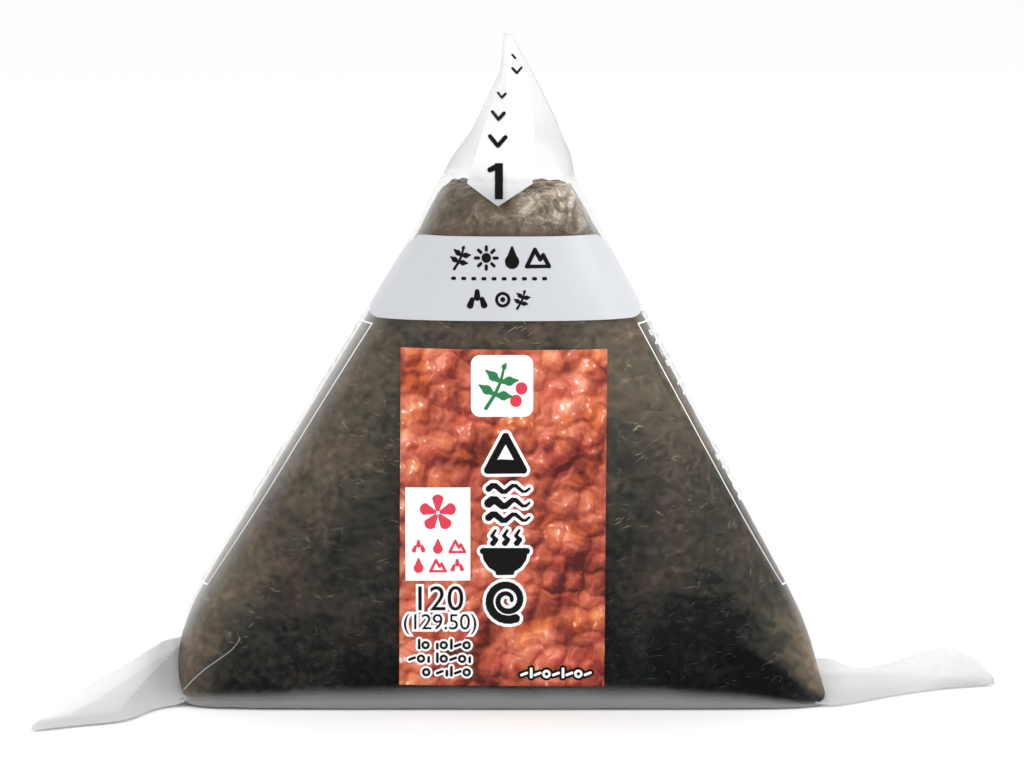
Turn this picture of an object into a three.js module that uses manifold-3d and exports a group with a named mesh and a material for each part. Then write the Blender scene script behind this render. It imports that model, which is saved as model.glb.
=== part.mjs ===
// A triangular rice ball in a sheet of roasted seaweed, sealed in clear film that is drawn to a point on top
// and to a folded ear at each lower corner. A printed band, a tear strip and a paper label lie on the film.
// Millimetres, +Z up. The front with the label faces -Y, and the origin is the middle of the flat base.
import * as THREE from "three";
import { mergeVertices } from "three/addons/utils/BufferGeometryUtils.js";
import Module from "manifold-3d";

const wasm = await Module();
wasm.setup();

// The wrapped ball
const BASE_WIDTH = 96; // across the two lower corners
const BASE_DEPTH = 32; // front face to back face, low down
const SEAWEED_TOP = 76.4; // height at which the seaweed sheet ends
const SEAWEED_TOP_WIDTH = 18.6;
const SIDE_SPREAD = 0.572; // what the half width gains for each millimetre downwards
const CORNER_BLEND = 1.5; // how softly the slanting sides turn upright at the lower corners
const FOOT_RADIUS = 1.4; // round edge between the faces and the base
const LEAN_AT_BASE = -1.96; // the ball's middle lies left of the origin low down
const LEAN_RATE = 0.0396; // and comes back to the right on the way up
const FOOT_SHIFT = 2.6; // the foot has slid to the right under the ball
const FOOT_SHIFT_HEIGHT = 5;
const TAPER_BEND = 3; // the faces stay upright low down and close in towards the tip
const TAPER_FULLNESS = 0.83;
const FACE_SQUARENESS = 2.9; // exponent of the outline: 2 is an ellipse, and more is boxier
const FOOT_SQUARENESS = 6; // added at the foot, where the film is stretched straight
const FOOT_SQUARENESS_FADE = 9;
const WAVE_HEIGHT = 0.35; // slow unevenness of the pressed rice under the film
const WAVE_LENGTH = { across: 46, up: 57 };

// The film's point above the seaweed
const TIP_HEIGHT = 97.4;
const TIP_BLUNTNESS = 0.6; // height by which the tip stops short of closing to nothing
const RIDGE_X = 0.6; // the fold that runs down the front of the point
const POINT_OUTLINE = [
  { z: SEAWEED_TOP, left: 8.8, right: 9.8 },
  { z: 80.2, left: 7.1, right: 9.3 },
  { z: 85, left: 4.4, right: 7.1 },
  { z: 92.1, left: 0.9, right: 3.5 },
  { z: TIP_HEIGHT, left: 0.5, right: 0.6 },
];
const POINT_SQUARENESS = 1.15; // nearly a diamond, with its ridge to the front
const POINT_FOLD_HEIGHT = 9; // the round ball turns into the folded point over this height

// The film's ears at the lower corners
const EAR_FLOOR = 0.35; // clearance under the ears, so that the base alone carries the weight
const EAR_SAG = 0.09; // how far the ears' sloping sides sink in, as a share of their width

// What lies on the film
const SKIN_GAP = 0.3; // clearance between the pack and what lies on it
const LABEL_WIDTH = 29.8;
const LABEL_HEIGHT = 49;
const LABEL_BOTTOM = 3.8;
const LABEL_TURN = 0.4; // degrees, clockwise as seen from the front
const LABEL_THICKNESS = 0.35;
const BAND_BOTTOM = 56.9;
const BAND_HEIGHT = 12;
const BAND_DROOP = 0.8; // how much lower the band's ends lie
const BAND_REACH = 0.235; // share of the way round the pack, from the front to each end
const BAND_END_SQUARENESS = 4.4;
const BAND_END_HEIGHT = 0.3; // share of the height that is left at the very end
const PRINT_THICKNESS = 0.3;
const STRIP_TOP = 96;
const STRIP_SHOULDER = 76.4; // where the strip's arrow head starts
const STRIP_POINT = { x: -0.7, z: 73.2 };
const STRIP_EDGES = [
  { z: STRIP_SHOULDER, left: -5.2, right: 4.3 },
  { z: 82.5, left: -3.3, right: 4.6 },
  { z: 88.5, left: -1.2, right: 4.2 },
  { z: 91.7, left: 0, right: 3.3 },
  { z: STRIP_TOP, left: 0.3, right: 1.2 },
];

// How finely the skins are faceted
const FACE_STEPS = 24;
const SIDE_STEPS = 12;
const CORNER_CROWDING = 0.25; // steps lie closer together near the outline's corners
const AROUND = 2 * (FACE_STEPS + SIDE_STEPS);
const BALL_ROWS = 27;
const ROW_CROWDING = 1.6; // the ball's rows lie closer together near the foot
const POINT_ROWS = 12;
const EAR_SIDE_STEPS = 5;
const EAR_ROWS = 12;

const { lerp, smoothstep } = THREE.MathUtils;

function softMin(a, b, blend) {
  return -blend * Math.log(Math.exp(-a / blend) + Math.exp(-b / blend));
}

// The value named key at height z, on straight lines between the stations.
function between(stations, z, key) {
  const above = stations.findIndex((station) => station.z >= z);
  if (above === 0) return stations[0][key];
  if (above < 0) return stations[stations.length - 1][key];
  const low = stations[above - 1];
  const high = stations[above];
  return lerp(low[key], high[key], (z - low.z) / (high.z - low.z));
}

// The pack's horizontal outline at height z: a superellipse with its own half width on each side.
function section(z) {
  const footRise = Math.max(0, FOOT_RADIUS - z);
  const inset = FOOT_RADIUS - Math.sqrt(FOOT_RADIUS ** 2 - footRise ** 2);
  const taper = (1 - (z / (TIP_HEIGHT + TIP_BLUNTNESS)) ** TAPER_BEND) ** TAPER_FULLNESS;
  const depth = (BASE_DEPTH / 2) * taper - inset;
  if (z > SEAWEED_TOP) {
    const folded = smoothstep(z, SEAWEED_TOP, SEAWEED_TOP + POINT_FOLD_HEIGHT);
    return {
      middle: RIDGE_X,
      left: between(POINT_OUTLINE, z, "left"),
      right: between(POINT_OUTLINE, z, "right"),
      depth,
      squareness: lerp(FACE_SQUARENESS, POINT_SQUARENESS, folded),
    };
  }
  const slanting = SEAWEED_TOP_WIDTH / 2 + SIDE_SPREAD * (SEAWEED_TOP - z);
  const half = softMin(slanting, BASE_WIDTH / 2, CORNER_BLEND) - inset;
  return {
    middle: LEAN_AT_BASE + LEAN_RATE * z + FOOT_SHIFT * Math.exp(-z / FOOT_SHIFT_HEIGHT),
    left: half,
    right: half,
    depth,
    squareness: FACE_SQUARENESS + FOOT_SQUARENESS * Math.exp(-z / FOOT_SQUARENESS_FADE),
  };
}

// Slow waves over the faces, which die out at the base and towards the film's point.
function wave(x, z) {
  const here = smoothstep(z, FOOT_RADIUS, 6 * FOOT_RADIUS) * (1 - smoothstep(z, BAND_BOTTOM, SEAWEED_TOP));
  const across = Math.sin((2 * Math.PI * x) / WAVE_LENGTH.across + 1);
  const up = Math.cos((2 * Math.PI * z) / WAVE_LENGTH.up);
  return WAVE_HEIGHT * here * across * up;
}

// A point of the unit square's edge: turn 0 is the middle of the right side, 0.25 the back, 0.75 the front.
function squareEdge(turn) {
  const step = ((((turn % 1) + 1) % 1) * AROUND + SIDE_STEPS / 2) % AROUND;
  const corner = (share) => share * (1 + CORNER_CROWDING * (1 - share * share));
  const half = FACE_STEPS + SIDE_STEPS;
  const along = step % half;
  const side = step < half ? 1 : -1;
  if (along <= SIDE_STEPS) return [side, side * corner((2 * along) / SIDE_STEPS - 1)];
  return [side * corner(1 - (2 * (along - SIDE_STEPS)) / FACE_STEPS), side];
}

// A point of the pack's skin at a turn and a height, moved outwards by outset.
function skin(turn, z, outset = 0) {
  const { middle, left, right, depth, squareness } = section(z);
  const [px, py] = squareEdge(turn);
  const reach = (Math.abs(px) ** squareness + Math.abs(py) ** squareness) ** (-1 / squareness);
  const wide = px < 0 ? left : right;
  const x = px * reach * wide;
  const y = py * reach * depth;
  const outwards = new THREE.Vector2(
    (Math.sign(px) * Math.abs(px) ** (squareness - 1)) / wide,
    (Math.sign(py) * Math.abs(py) ** (squareness - 1)) / depth,
  ).setLength(outset);
  const swell = py * reach * wave(x, z);
  return new THREE.Vector3(middle + x + outwards.x, y + swell + outwards.y, z);
}

// A point of the pack's front face as seen from the front at x and z, moved forwards by outset.
function front(x, z, outset) {
  const { middle, left, right, depth, squareness } = section(z);
  const off = x - middle;
  const share = Math.min(1, Math.abs(off) / (off < 0 ? left : right));
  const forward = (1 - share ** squareness) ** (1 / squareness);
  return new THREE.Vector3(x, -forward * (depth + wave(off, z)) - outset, z);
}

// Merges the vertices that lie together, so that the skin is closed.
function closed(geometry) {
  geometry.deleteAttribute("normal");
  geometry.deleteAttribute("uv");
  const merged = mergeVertices(geometry, 1e-4);
  merged.computeVertexNormals();
  return merged;
}

// Moves each vertex of a geometry to where place puts it.
function reshape(geometry, place) {
  const position = geometry.getAttribute("position");
  const vertex = new THREE.Vector3();
  for (let i = 0; i < position.count; i++) {
    const moved = place(vertex.fromBufferAttribute(position, i));
    position.setXYZ(i, moved.x, moved.y, moved.z);
  }
  return closed(geometry);
}

// A closed skin through rings: place(turn, rise) gives a ring's points, and heart(rise) the middle of an end.
function loft(around, rows, place, heart) {
  return reshape(new THREE.CylinderGeometry(1, 1, 1, around, rows), ({ x, y, z }) => {
    const rise = y + 0.5;
    if (Math.hypot(x, z) < 0.5) return heart(rise);
    return place(Math.atan2(x, z) / (2 * Math.PI), rise);
  });
}

// A thin plate: place(across, up, outset) bends it over the pack. across and up run from -0.5 to 0.5.
function plate(columns, rows, thickness, place) {
  return reshape(new THREE.BoxGeometry(1, 1, 1, columns, rows, 1), ({ x, y, z }) =>
    place(x, y, SKIN_GAP + (z + 0.5) * thickness),
  );
}

// The stretch of the pack between two heights.
function packStretch(low, high, rows, crowding, outset = 0) {
  const height = (rise) => lerp(low, high, rise ** crowding);
  return loft(
    AROUND,
    rows,
    (turn, rise) => skin(turn, height(rise), outset),
    (rise) => new THREE.Vector3(section(height(rise)).middle, 0, height(rise)),
  );
}

function solid(geometry) {
  return new wasm.Manifold(
    new wasm.Mesh({
      numProp: 3,
      vertProperties: new Float32Array(geometry.getAttribute("position").array),
      triVerts: new Uint32Array(geometry.index.array),
    }),
  );
}

function fromSolid(manifold) {
  const { vertProperties, triVerts } = manifold.getMesh();
  const geometry = new THREE.BufferGeometry();
  geometry.setAttribute("position", new THREE.BufferAttribute(vertProperties, 3));
  geometry.setIndex(new THREE.BufferAttribute(triVerts, 1));
  geometry.computeVertexNormals();
  return geometry;
}

// An ear of folded film: a tent that runs from the pack's corner to a point. Its three long edges are curves,
// in the order that goes anticlockwise when looked at from the point. The pack is cut out of its root.
function ear(edges, pack) {
  const curve = (points) => new THREE.CatmullRomCurve3(points.map((point) => new THREE.Vector3(...point)));
  const curves = edges.map(curve);
  const around = 3 * EAR_SIDE_STEPS;
  const tent = loft(
    around,
    EAR_ROWS,
    (turn, rise) => {
      const step = (((turn % 1) + 1) % 1) * 3;
      const side = Math.floor(step + 1e-6) % 3;
      const share = Math.max(0, step - side);
      const corners = curves.map((edge) => edge.getPoint(rise));
      const from = corners[side];
      const to = corners[(side + 1) % 3];
      const sloping = side < 2 ? 1 : 0;
      const sag = sloping * EAR_SAG * 4 * share * (1 - share);
      return from.clone().lerp(to, share).lerp(corners[(side + 2) % 3], sag);
    },
    (rise) => {
      const corners = curves.map((edge) => edge.getPoint(rise));
      return corners[0].add(corners[1]).add(corners[2]).divideScalar(3);
    },
  );
  return fromSolid(solid(tent).subtract(pack));
}

function mesh(name, geometry, color, roughness, opacity = 1) {
  const material = new THREE.MeshStandardMaterial({
    color,
    roughness,
    metalness: 0,
    opacity,
    transparent: opacity < 1,
  });
  const made = new THREE.Mesh(geometry, material);
  made.name = name;
  return made;
}

function wrappedBall() {
  return mesh("seaweed_ball", packStretch(0, SEAWEED_TOP, BALL_ROWS, ROW_CROWDING), 0x453f38, 0.3);
}

function filmPoint() {
  const geometry = packStretch(SEAWEED_TOP + SKIN_GAP, TIP_HEIGHT, POINT_ROWS, 1);
  return mesh("film_point", geometry, 0xf1f1f0, 0.15, 0.6);
}

// The left ear lies forwards along the floor and the right ear backwards, as the pack was put down.
function filmEars() {
  const ball = solid(packStretch(0, SEAWEED_TOP, BALL_ROWS, ROW_CROWDING, SKIN_GAP));
  const low = EAR_FLOOR;
  const left = {
    ridge: [[-44, -1, 10.4], [-48.4, -2, 8.8], [-56.3, -16, 5.9], [-64.7, -27.5, 2.5], [-67, -30.4, 1]],
    front: [[-43, -12, low], [-49.8, -15, low], [-54.1, -24, low], [-61, -27.6, low], [-67.1, -30.8, low]],
    back: [[-43, 11, low], [-48.2, 9, low], [-56, -6, low], [-63.5, -21, low], [-67, -30, low]],
  };
  const right = {
    ridge: [[43, 0, 6.6], [49, 0, 4.5], [53.4, 2, 2.5], [60.5, 4, 4], [67, 5, 5.3], [71.5, 4, 3], [73.3, 2, 1]],
    front: [[42, -14, low], [48, -14, low], [55, -8.6, low], [61, -4, low], [66, -1, low], [73.4, 1.6, low]],
    back: [[42, 12, low], [48, 11.5, low], [54, 10.5, low], [61, 9.6, low], [67, 8, low], [73.3, 2.4, low]],
  };
  return [
    mesh("film_ear_left", ear([left.front, left.ridge, left.back], ball), 0xe2e4e3, 0.2, 0.6),
    mesh("film_ear_right", ear([right.back, right.ridge, right.front], ball), 0xf0f0f0, 0.2, 0.8),
  ];
}

// The pale printed field across the upper front, with rounded ends that reach round onto the slanting sides.
function printBand() {
  const geometry = plate(40, 8, PRINT_THICKNESS, (across, up, outset) => {
    const share = Math.min(1, Math.abs(2 * across));
    const round = (1 - share ** BAND_END_SQUARENESS) ** (1 / BAND_END_SQUARENESS);
    const height = BAND_HEIGHT * Math.max(BAND_END_HEIGHT, round);
    const z = BAND_BOTTOM + BAND_HEIGHT / 2 - BAND_DROOP * share ** 2 + up * height;
    return skin(0.75 + 2 * across * BAND_REACH, z, outset);
  });
  return mesh("print_band", geometry, 0xd5d7de, 0.25);
}

// The white tear strip: it comes down the folded point and ends in an arrow head over the seaweed.
function tearStrip() {
  const geometry = plate(8, 16, PRINT_THICKNESS, (across, up, outset) => {
    const share = Math.abs(2 * across);
    const low = lerp(STRIP_POINT.z, STRIP_SHOULDER, share);
    const z = lerp(low, STRIP_TOP, up + 0.5);
    const edge = between(STRIP_EDGES, z, across < 0 ? "left" : "right");
    const folded = smoothstep(z, STRIP_SHOULDER, STRIP_SHOULDER + POINT_FOLD_HEIGHT);
    const middle = lerp(STRIP_POINT.x, RIDGE_X, folded);
    return front(lerp(middle, edge, share), z, outset);
  });
  return mesh("tear_strip", geometry, 0xf4f4f6, 0.3);
}

function paperLabel() {
  const turn = THREE.MathUtils.degToRad(LABEL_TURN);
  const middle = LABEL_BOTTOM + LABEL_HEIGHT / 2;
  const geometry = plate(12, 20, LABEL_THICKNESS, (across, up, outset) => {
    const spot = new THREE.Vector2(across * LABEL_WIDTH, up * LABEL_HEIGHT);
    spot.rotateAround(new THREE.Vector2(), -turn);
    return front(spot.x, middle + spot.y, outset);
  });
  return mesh("paper_label", geometry, 0xb85f49, 0.45);
}

const pack = new THREE.Group();
pack.add(wrappedBall(), filmPoint(), ...filmEars(), printBand(), tearStrip(), paperLabel());

export default pack;
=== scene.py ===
# A triangular rice ball in roasted seaweed, sealed in clear film with a band, a tear strip and a label.
# Shapes are worked out in millimetres, and a piece is scaled to metres when it is finished.
import math
import random

import bmesh
import bpy
from mathutils import Matrix, Vector, noise
from mathutils.bvhtree import BVHTree


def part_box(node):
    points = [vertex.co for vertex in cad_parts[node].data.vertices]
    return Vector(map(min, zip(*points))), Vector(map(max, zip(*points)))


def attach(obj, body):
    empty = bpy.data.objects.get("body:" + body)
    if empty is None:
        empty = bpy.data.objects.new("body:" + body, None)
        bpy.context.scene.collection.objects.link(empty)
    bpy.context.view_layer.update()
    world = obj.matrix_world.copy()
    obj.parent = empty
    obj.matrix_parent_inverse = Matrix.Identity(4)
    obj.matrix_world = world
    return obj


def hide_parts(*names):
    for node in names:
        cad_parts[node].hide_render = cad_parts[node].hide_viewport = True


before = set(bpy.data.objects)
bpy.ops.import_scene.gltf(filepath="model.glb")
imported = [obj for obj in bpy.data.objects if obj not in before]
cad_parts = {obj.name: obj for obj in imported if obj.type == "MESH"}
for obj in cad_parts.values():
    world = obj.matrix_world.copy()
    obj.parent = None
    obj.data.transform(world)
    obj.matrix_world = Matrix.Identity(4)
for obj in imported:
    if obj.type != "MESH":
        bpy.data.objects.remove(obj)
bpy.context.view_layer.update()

MM = 0.001
FILM_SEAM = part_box("seaweed_ball")[1].z / MM  # height at which the film's point starts
BASE_HALF = (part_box("seaweed_ball")[1].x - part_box("seaweed_ball")[0].x) / 2 / MM
SIDE_LEAN = 0.61  # how far each slanting side leans in for each millimetre of height
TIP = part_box("film_point")[1].z / MM

# The seaweed under the film
SHEET_GAP = 0.3  # between the film and the sheet on the faces
SHEET_SIDE_GAP = 0.55  # and on the slanting sides
PULP_RELIEF = 0.07  # the papery unevenness of the pressed sheet
CRUMPLE_DEPTH = 1.5  # folds of the loose sheet near its upper edge
CRUMPLE_START = 66
FIBRES = 7000
FIBRE_STEPS = 5
FIBRE_SLANT = 0.3  # how far the fibres rise towards the right, in radians

# Painted light on the sheet, from about 0, painted shade low in the face's middle, to 1, a painted sheen of
# the film's reflection higher up and at the sides
PAINTED_LIGHT_LOW = [(0, -0.5), (6, -0.36), (12, -0.03), (18, 0.3), (24, 0.39)]  # as (z, painted light), on the face's middle
PAINTED_LIGHT_HIGH = [(36, 0.42), (46, 0.56), (52, 0.84), (72, 1.05)]
PAINTED_LIGHT_EDGE = 1.25  # at the slanting edges
PAINTED_LIGHT_REACH = 8  # how far in from the slanting edge it reaches at the foot
PAINTED_LIGHT_SPREAD = 0.4  # and how much further for each millimetre of height
CORNER_FOLD = Vector((37.6, 7.5))  # the film is folded along a line through here, at the lower right corner, and the sheet is painted lit above it and in painted shade below it
CORNER_FOLD_FALL = 0.69  # how much that line falls for each millimetre to the right

# The seam between the film round the ball and its point
SEAM_ROUNDING = 1.8  # how far up and down its edge is rounded
SEAM_PASSES = 3

# The milky fold of film along the foot, as (x, its height)
FOOT_FOLD = [(-48, 1.8), (-38, 2.6), (-20, 3.5), (0, 3.8), (22, 3.6), (36, 2.2), (44, 0.8), (48, 0.1)]
FOOT_MILK = 0.46  # the share of white in it

# The fine crease round the lower left corner, as (x, z), drawn as a white line: a painted highlight along
# the fold
CREASE_FOOT = [(-46.7, 2.4), (-45.1, 4.3), (-43.4, 5.9), (-41.5, 7.3)]
CREASE_END = [(-39.7, 8.6), (-38.7, 9.7), (-38.2, 10.6)]
CREASE_WIDTHS = (0.13, 0.05)

# The ears on the table
EAR_ROOT = 1.1  # how far they reach in under the film, to the sheet
EAR_TABLE = 0.05  # how far they stay above the table
EAR_START = -48.9  # the x at which the left ear's lines start
EAR_FOLD = (6.4, 0.756)  # its fold line's height there, and its rise for each millimetre to the right
EAR_RIDGE = (7.8, 0.386)  # and its ridge's

# The printed band, from the same sizes as its solid
BAND_LOW = 56.9
BAND_HEIGHT = 12
BAND_DROOP = 0.8
BAND_END_SQUARENESS = 4.4
BAND_END_HEIGHT = 0.3
BAND_FACE = 0.709  # the share of the way to its end that lies on the face
BAND_SIDE = 0.82  # how much of the slanting side the rest takes

# The tear strip
STRIP_TOP = 96
STRIP_SHOULDER = FILM_SEAM
STRIP_POINT = Vector((-0.7, 73.2))
RIDGE_X = 0.6
STRIP_LEFT = [(FILM_SEAM, -5.2), (82.5, -3.3), (88.5, -1.2), (91.7, 0), (STRIP_TOP, 0.3)]
STRIP_RIGHT = [(FILM_SEAM, 4.3), (82.5, 4.6), (88.5, 4.2), (91.7, 3.3), (STRIP_TOP, 1.2)]

# The paper label
LABEL_WIDTH = 29.8
LABEL_HEIGHT = 49
LABEL_LOW = 3.8
LABEL_TURN = math.radians(0.4)

# The white frame on each slanting side
FRAME_LOW = 17.2
FRAME_HIGH = 55.8
FRAME_HALF = 7.9
FRAME_LINE = 0.21

# The photograph's frame and its focal length, in pixels
PHOTO_WIDTH = 1024
PHOTO_FOCAL = 4745.8

# Heights of the layers above the film
INK_LIFT = 0.05
BAND_LIFT = 0.03
STRIP_LIFT = 0.14
PAPER_LIFT = 0.06
PAPER_THICKNESS = 0.12
LAYER = 0.0015  # each stroke of a print lies this much above the one before
LAYERS = 20
OVERPRINT = 0.04  # a second colour lies this much above the first


def linear(code, alpha=1.0):
    """A colour written as #rrggbb in sRGB, as the linear values that a shader takes."""
    levels = [int(code[i : i + 2], 16) / 255 for i in (1, 3, 5)]
    return (*[v / 12.92 if v <= 0.04045 else ((v + 0.055) / 1.055) ** 2.4 for v in levels], alpha)


def per(size):
    """The texture scale at which one cell is this many millimetres."""
    return 1 / (size * MM)


def node(tree, kind, inputs, stops=(), **settings):
    """Adds a shader node with its settings, values, links and colour stops."""
    made = tree.nodes.new("ShaderNode" + kind)
    for name, value in settings.items():
        setattr(made, name, value)
    for socket, value in inputs.items():
        if isinstance(value, bpy.types.NodeSocket):
            tree.links.new(value, made.inputs[socket])
        else:
            made.inputs[socket].default_value = value
    for i, (position, code) in enumerate(stops):
        stop = made.color_ramp.elements[i] if i < 2 else made.color_ramp.elements.new(position)
        stop.position = position
        stop.color = linear(code)
    return made


def blank(name):
    """A new material with only its output."""
    made = bpy.data.materials.new(name)
    made.use_nodes = True
    tree = made.node_tree
    tree.nodes.clear()
    return made, tree, tree.nodes.new("ShaderNodeOutputMaterial").inputs["Surface"]


def soft_step(value, low, high):
    share = min(1.0, max(0.0, (value - low) / (high - low)))
    return share * share * (3 - 2 * share)


def mix(low, high, share):
    return low + (high - low) * share


def along(stations, x):
    """The value at x on straight lines between stations, each given as (x, value)."""
    low = stations[0]
    for high in stations[1:]:
        if x <= high[0]:
            return mix(low[1], high[1], max(0, (x - low[0]) / (high[0] - low[0])))
        low = high
    return low[1]


# Materials


def roasted_seaweed():
    """Pressed and roasted nori: near black with a green cast, with painted light in its colour: browner for
    a painted sheen of the film's reflection, darker for painted shade.
    """
    made, tree, surface = blank("roasted_seaweed")
    place = node(tree, "TexCoord", {}).outputs["Object"]
    # Painted light: a painted sheen of the film's reflection and painted shade, from the sheet's vertices
    painted_light = node(tree, "Attribute", {}, attribute_name="painted_light").outputs["Fac"]
    patches = node(tree, "TexNoise", {"Vector": place, "Scale": per(14), "Detail": 4}).outputs["Fac"]
    grain = {"Vector": place, "Scale": per(1.1), "Detail": 3, "Roughness": 0.6}
    pulp = node(tree, "TexNoise", grain).outputs["Fac"]
    flat = node(tree, "Mapping", {"Vector": place, "Scale": (1, 1, 2.2)}).outputs[0]
    grain = {"Vector": flat, "Scale": per(4), "Detail": 5, "Roughness": 0.66, "Distortion": 0.7}
    streaks = node(tree, "TexNoise", grain).outputs["Fac"]
    shade = node(tree, "Math", {0: pulp, 1: 0.5, 2: -0.4}, operation="MULTIPLY_ADD").outputs[0]
    shade = node(tree, "Math", {0: patches, 1: 0.54, 2: shade}, operation="MULTIPLY_ADD").outputs[0]
    shade = node(tree, "Math", {0: streaks, 1: 0.4, 2: shade}, operation="MULTIPLY_ADD").outputs[0]
    shade = node(tree, "Math", {0: painted_light, 1: 0.27, 2: shade}, operation="MULTIPLY_ADD").outputs[0]
    stops = [(0.1, "#050708"), (0.28, "#191c1d"), (0.5, "#3c3832"), (0.7, "#62584b"), (1, "#9d8f7b")]
    leaf = node(tree, "ValToRGB", {"Fac": shade}, stops).outputs["Color"]
    tint = node(tree, "TexNoise", {"Vector": place, "Scale": per(7), "Detail": 3}).outputs["Fac"]
    tint = node(tree, "ValToRGB", {"Fac": tint}, [(0.36, "#eef6ee"), (0.64, "#fff3f2")]).outputs["Color"]
    colour = node(tree, "Mix", {0: 1, 6: leaf, 7: tint}, data_type="RGBA", blend_type="MULTIPLY").outputs[2]
    # Painted highlights and shade on the crumpled upper edge, stronger to the right
    highlight_share = node(tree, "Attribute", {}, attribute_name="fold").outputs["Fac"]
    grain = {"Vector": place, "Scale": per(3), "Detail": 8, "Roughness": 0.76, "Distortion": 0.7}
    wrinkle_shading = node(tree, "TexNoise", grain).outputs["Fac"]
    wrinkle_shading = node(tree, "Math", {0: highlight_share, 1: 0.1, 2: wrinkle_shading}, operation="MULTIPLY_ADD").outputs[0]
    stops = [(0.4, "#3d342c"), (0.52, "#6e6253"), (0.6, "#a39583"), (0.72, "#efe6d8")]
    crumple_highlight = node(tree, "ValToRGB", {"Fac": wrinkle_shading}, stops).outputs["Color"]
    colour = node(tree, "Mix", {0: highlight_share, 6: colour, 7: crumple_highlight}, data_type="RGBA").outputs[2]
    bump = node(tree, "Bump", {"Height": pulp, "Strength": 0.4, "Distance": 0.12 * MM}).outputs[0]
    finish = {"Base Color": colour, "Roughness": 0.7, "Specular IOR Level": 0.08, "Normal": bump}
    shader = node(tree, "BsdfPrincipled", finish)
    tree.links.new(shader.outputs[0], surface)
    return made


def seaweed_fibre():
    """Stray strands of the same pulp: tan under the sheet's painted sheen, a cold grey in its painted
    shade.
    """
    made, tree, surface = blank("seaweed_fibre")
    place = node(tree, "TexCoord", {}).outputs["Object"]
    tone = node(tree, "TexNoise", {"Vector": place, "Scale": per(4), "Detail": 2}).outputs["Fac"]
    stops = [(0.34, "#3f3a32"), (0.54, "#6a6153"), (0.7, "#b0a48c")]
    colour = node(tree, "ValToRGB", {"Fac": tone}, stops).outputs["Color"]
    # The sheet's painted light: a painted sheen makes a strand tan, painted shade makes it grey
    painted_light = node(tree, "Attribute", {}, attribute_name="painted_light").outputs["Fac"]
    sheen_share = node(tree, "MapRange", {"Value": painted_light, "From Min": -0.3, "From Max": 0.6}).outputs[0]
    colour = node(tree, "Mix", {0: sheen_share, 6: linear("#393d3f"), 7: colour}, data_type="RGBA").outputs[2]
    finish = {"Base Color": colour, "Roughness": 0.5, "Specular IOR Level": 0.2}
    shader = node(tree, "BsdfPrincipled", finish)
    tree.links.new(shader.outputs[0], surface)
    return made


def clear_film():
    """Stretched polypropylene film: clear and glossy, it shows little but the reflections at its edges."""
    made, tree, surface = blank("clear_film")
    place = node(tree, "TexCoord", {}).outputs["Object"]
    ripple = node(tree, "TexNoise", {"Vector": place, "Scale": per(9), "Detail": 2}).outputs["Fac"]
    bump = node(tree, "Bump", {"Height": ripple, "Strength": 0.3, "Distance": 0.6 * MM}).outputs[0]
    through = node(tree, "BsdfTransparent", {})
    veil = node(tree, "Attribute", {}, attribute_name="veil").outputs["Fac"]
    dull = node(tree, "MapRange", {"Value": veil, "From Max": 0.12, "To Min": 1, "To Max": 0.62}).outputs[0]
    gloss = node(tree, "BsdfAnisotropic", {"Color": dull, "Roughness": 0.2, "Normal": bump})
    facing = node(tree, "LayerWeight", {"Blend": 0.5, "Normal": bump}).outputs["Facing"]
    cling = node(tree, "Attribute", {}, attribute_name="cling").outputs["Fac"]
    falloff = node(tree, "MapRange", {"Value": cling, "To Min": 2.3, "To Max": 4.2}).outputs[0]
    edge = node(tree, "Math", {0: facing, 1: falloff}, operation="POWER").outputs[0]
    edge = node(tree, "MapRange", {"Value": edge, "From Min": 0.03}).outputs[0]
    tucked = node(tree, "Attribute", {}, attribute_name="tucked").outputs["Fac"]
    free = node(tree, "MapRange", {"Value": tucked, "To Min": 0.94, "To Max": 0}).outputs[0]
    edge = node(tree, "Math", {0: edge, 1: free}, operation="MULTIPLY").outputs[0]
    film = node(tree, "MixShader", {0: edge, 1: through.outputs[0], 2: gloss.outputs[0]})
    milk = node(tree, "BsdfDiffuse", {"Color": linear("#fcfcfc")})
    glow = node(tree, "BsdfTranslucent", {"Color": linear("#fcfcfc")})
    milk = node(tree, "MixShader", {0: 0.5, 1: milk.outputs[0], 2: glow.outputs[0]})
    film = node(tree, "MixShader", {0: veil, 1: film.outputs[0], 2: milk.outputs[0]})
    tree.links.new(film.outputs[0], surface)
    return made


def folded_film(name, body):
    """The same film in several crumpled layers, which scatter the light and read as a thin white skin."""
    made, tree, surface = blank(name)
    place = node(tree, "TexCoord", {}).outputs["Object"]
    # The shade attribute greys the white: painted shade on the ears, and the extra layers below the left
    # ear's fold
    shade = node(tree, "Attribute", {}, attribute_name="shade").outputs["Fac"]
    creases = node(tree, "TexNoise", {"Vector": place, "Scale": per(3), "Detail": 5}).outputs["Fac"]
    bump = node(tree, "Bump", {"Height": creases, "Strength": 0.5, "Distance": 0.5 * MM}).outputs[0]
    tones = {0: shade, 6: linear("#fafafa"), 7: linear("#b0b1b2")}
    white = node(tree, "Mix", tones, data_type="RGBA").outputs[2]
    skin = node(tree, "BsdfPrincipled", {"Base Color": white, "Roughness": 0.4, "Normal": bump})
    glow = node(tree, "BsdfTranslucent", {"Color": white, "Normal": bump})
    skin = node(tree, "MixShader", {0: 0.4, 1: skin.outputs[0], 2: glow.outputs[0]})
    through = node(tree, "BsdfTransparent", {})
    film = node(tree, "MixShader", {0: body, 1: through.outputs[0], 2: skin.outputs[0]})
    tree.links.new(film.outputs[0], surface)
    return made


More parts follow.
